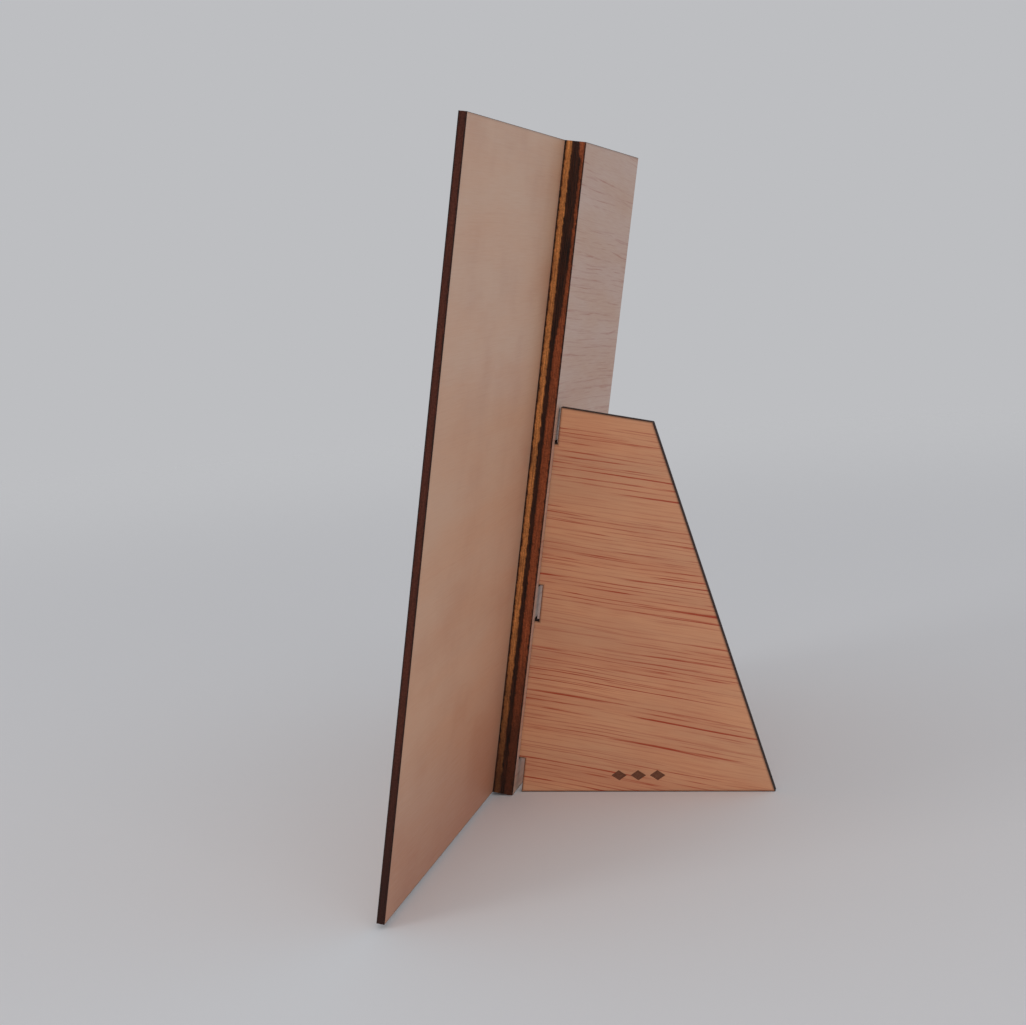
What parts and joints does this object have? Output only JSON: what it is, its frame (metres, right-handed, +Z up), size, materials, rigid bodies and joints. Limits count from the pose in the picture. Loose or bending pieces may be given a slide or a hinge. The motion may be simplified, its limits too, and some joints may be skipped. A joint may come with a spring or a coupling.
{
  "type": "photo frame",
  "caption": "Leaning table frame of laser-cut plywood with a rear photo pocket, a wide off-centre front board and a plug-in trapezoid leg.",
  "frame": {"origin": "centre of the base, on the table surface", "axes": "+X across the frame, to the right as seen from the front; +Y from the front to the back; +Z up"},
  "size_m": [0.3, 0.1116, 0.2478],
  "materials": {
    "panel_plywood": "bare sanded plywood, laser-cut charred edges",
    "layer_plywood": "bare plywood, laser-cut charred edges",
    "plate_plywood": "bare plywood with fine red-brown grain lines",
    "leg_plywood": "bare plywood with red-brown grain lines, charred outline",
    "clear_acrylic": "clear gloss",
    "photo_paper": "satin print",
    "backing_card": "matt brown board"
  },
  "bodies": {
    "frame": {"front_panel": "panel_plywood", "inner_stile": "layer_plywood", "outer_stile": "layer_plywood", "bottom_rail": "layer_plywood", "photo_ledge": "layer_plywood", "back_plate": "plate_plywood"},
    "leg": {"support_leg": "leg_plywood"},
    "clear_sheet": {"clear_sheet": "clear_acrylic"},
    "photo_print": {"photo_print": "photo_paper"},
    "backing_board": {"backing_board": "backing_card"}
  },
  "joints": [
    {"name": "leg_pull_out", "type": "slide", "parent": "frame", "child": "leg", "axis": [0, 0.9836, -0.1805], "range_m": [0, 0.03]},
    {"name": "clear_sheet_lift", "type": "slide", "parent": "frame", "child": "clear_sheet", "axis": [0, 0.1805, 0.9836], "range_m": [0, 0.2]},
    {"name": "photo_print_lift", "type": "slide", "parent": "frame", "child": "photo_print", "axis": [0, 0.1805, 0.9836], "range_m": [0, 0.2]},
    {"name": "backing_board_lift", "type": "slide", "parent": "frame", "child": "backing_board", "axis": [0, 0.1805, 0.9836], "range_m": [0, 0.2]}
  ]
}
